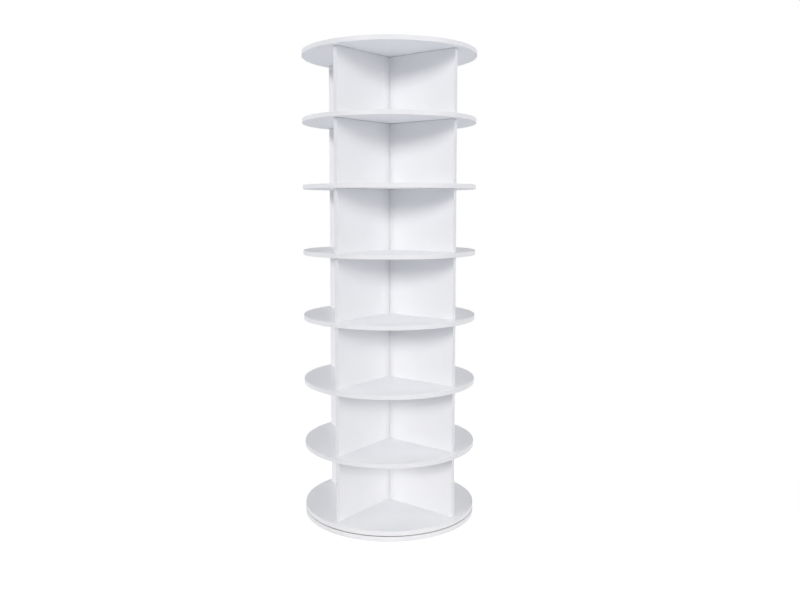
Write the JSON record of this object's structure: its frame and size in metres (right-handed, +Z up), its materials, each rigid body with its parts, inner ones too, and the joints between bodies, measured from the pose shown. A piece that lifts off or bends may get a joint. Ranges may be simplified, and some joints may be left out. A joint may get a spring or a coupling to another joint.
{
  "type": "rotating shoe tower",
  "caption": "Tall round shoe tower: flat white boards stacked on crossed upright dividers, open all round, turning on a flat bearing over a fixed base disc.",
  "frame": {"origin": "on the floor, at the tower's turning axis", "axes": "+Z up along the turning axis, +X and +Y along two neighbouring divider arms at rest"},
  "size_m": [0.6, 0.6, 1.61],
  "materials": {
    "white_board": "matt white melamine on particle board, with a banded edge",
    "foot_rubber": "matt",
    "bearing_aluminium": "mill finish with turned faces",
    "cage_nylon": "natural nylon",
    "screw_steel": "bright zinc",
    "dowel_beech": "raw beech"
  },
  "bodies": {
    "base": {"base_disc": "white_board", "bearing_inner_ring": "bearing_aluminium", "foot_pad_1": "foot_rubber", "foot_pad_2": "foot_rubber", "foot_pad_3": "foot_rubber", "foot_pad_4": "foot_rubber", "inner_ring_screw_1": "screw_steel", "inner_ring_screw_2": "screw_steel", "inner_ring_screw_3": "screw_steel", "inner_ring_screw_4": "screw_steel"},
    "ball_cage": {"bearing_ball_cage": "cage_nylon"},
    "tower": {"bearing_outer_ring": "bearing_aluminium", "outer_ring_screw_1": "screw_steel", "outer_ring_screw_2": "screw_steel", "outer_ring_screw_3": "screw_steel", "outer_ring_screw_4": "screw_steel", "bottom_board": "white_board", "shelf_1": "white_board", "shelf_2": "white_board", "shelf_3": "white_board", "shelf_4": "white_board", "shelf_5": "white_board", "shelf_6": "white_board", "top_board": "white_board", "bottom_screw_1": "screw_steel", "bottom_screw_2": "screw_steel", "bottom_screw_3": "screw_steel", "bottom_screw_4": "screw_steel", "tier_1_divider_a": "white_board", "tier_1_divider_b": "white_board", "tier_2_divider_a": "white_board", "tier_2_divider_b": "white_board", "tier_3_divider_a": "white_board", "tier_3_divider_b": "white_board", "tier_4_divider_a": "white_board", "tier_4_divider_b": "white_board", "tier_5_divider_a": "white_board", "tier_5_divider_b": "white_board", "tier_6_divider_a": "white_board", "tier_6_divider_b": "white_board", "tier_7_divider_a": "white_board", "tier_7_divider_b": "white_board", "shelf_1_connector_1": "dowel_beech", "shelf_1_connector_2": "dowel_beech", "shelf_2_connector_1": "dowel_beech", "shelf_2_connector_2": "dowel_beech", "shelf_3_connector_1": "dowel_beech", "shelf_3_connector_2": "dowel_beech", "shelf_4_connector_1": "dowel_beech", "shelf_4_connector_2": "dowel_beech", "shelf_5_connector_1": "dowel_beech", "shelf_5_connector_2": "dowel_beech", "shelf_6_connector_1": "dowel_beech", "shelf_6_connector_2": "dowel_beech", "top_dowel_1": "dowel_beech", "top_dowel_2": "dowel_beech", "top_dowel_3": "dowel_beech", "top_dowel_4": "dowel_beech"}
  },
  "joints": [
    {"name": "tower_turn", "type": "hinge", "parent": "base", "child": "tower", "pos_m": [0, 0, 0.0185], "axis": [0, 0, 1], "continuous": true},
    {"name": "cage_turn", "type": "hinge", "parent": "base", "child": "ball_cage", "pos_m": [0, 0, 0.0185], "axis": [0, 0, 1], "continuous": true}
  ],
  "couplings": [
    {"joint": "cage_turn", "follows": "tower_turn", "ratio": 0.5068}
  ]
}
